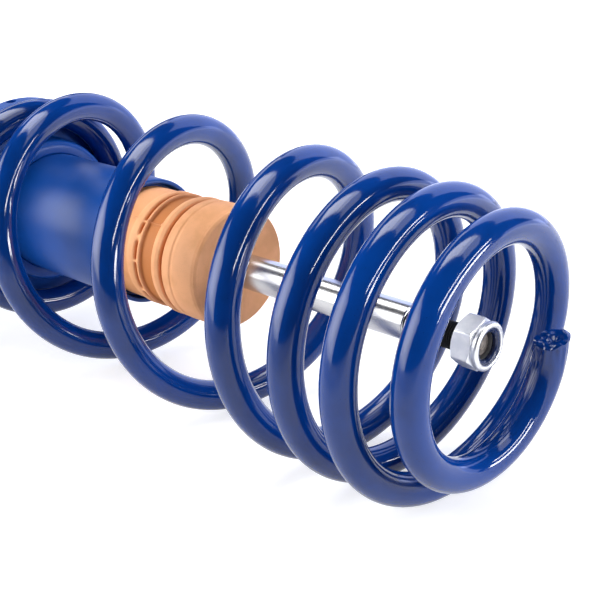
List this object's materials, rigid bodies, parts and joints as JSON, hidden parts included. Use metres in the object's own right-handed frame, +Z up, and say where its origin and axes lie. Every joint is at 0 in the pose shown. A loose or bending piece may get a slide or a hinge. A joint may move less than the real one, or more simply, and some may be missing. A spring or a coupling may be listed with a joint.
{
  "type": "suspension strut",
  "caption": "Coil spring over a twin-tube damper with a chromed rod, foam bump stop, pressed spring seat, locking nut and a rubber-bushed lower eye.",
  "frame": {"origin": "centre of the lower eye's bolt hole, half way along the sleeve", "axes": "+X along the damper towards the threaded rod end, +Y along the eye's bolt, +Z up"},
  "size_m": [0.4821, 0.1177, 0.1173],
  "materials": {
    "blue_paint": "satin blue paint",
    "blue_spring_paint": "glossy deep blue powder coat",
    "chrome": "hard chrome, polished",
    "zinc": "zinc plated",
    "bare_steel": "bare, oiled",
    "spring_steel": "bare, oiled",
    "sintered_iron": "sintered, oiled",
    "bronze": "rolled bronze",
    "rubber": "matte black rubber",
    "slide_band": "filled fluoropolymer",
    "nylon": "navy nylon",
    "foam": "matte ochre polyurethane foam"
  },
  "bodies": {
    "tube": {"eye_ring": "blue_paint", "eye_bush": "rubber", "bottom_cap": "blue_paint", "damper_tube": "blue_paint", "pressure_cylinder": "bare_steel", "base_valve_body": "sintered_iron", "base_valve_discs": "spring_steel", "base_valve_bolt": "bare_steel", "end_cap": "blue_paint", "rod_guide": "sintered_iron", "guide_bushing": "bronze", "rod_seal": "rubber", "guide_o_ring": "rubber", "bump_stop": "foam", "spring_seat": "blue_paint", "coil_spring": "blue_spring_paint"},
    "band": {"piston_band": "slide_band"},
    "rod": {"piston_rod": "chrome", "rebound_stop": "rubber", "rebound_collar": "bare_steel", "piston": "sintered_iron", "compression_discs": "spring_steel", "rebound_discs": "spring_steel", "piston_nut": "bare_steel", "top_nut": "zinc", "nut_ring": "nylon"},
    "sleeve": {"eye_sleeve": "zinc"}
  },
  "joints": [
    {"name": "rod_slide", "type": "slide", "parent": "tube", "child": "band", "axis": [1, 0, 0], "range_m": [-0.104, 0], "stiffness_N_per_m": 300, "springref_m": 0.02, "deforming": ["coil_spring"]},
    {"name": "rod_turn", "type": "hinge", "parent": "band", "child": "rod", "pos_m": [0.2, 0, 0], "axis": [1, 0, 0], "continuous": true},
    {"name": "bush_twist", "type": "hinge", "parent": "tube", "child": "sleeve", "pos_m": [0, 0, 0], "axis": [0, 1, 0], "range_deg": [-15, 15], "stiffness_Nm_per_rad": 1}
  ]
}
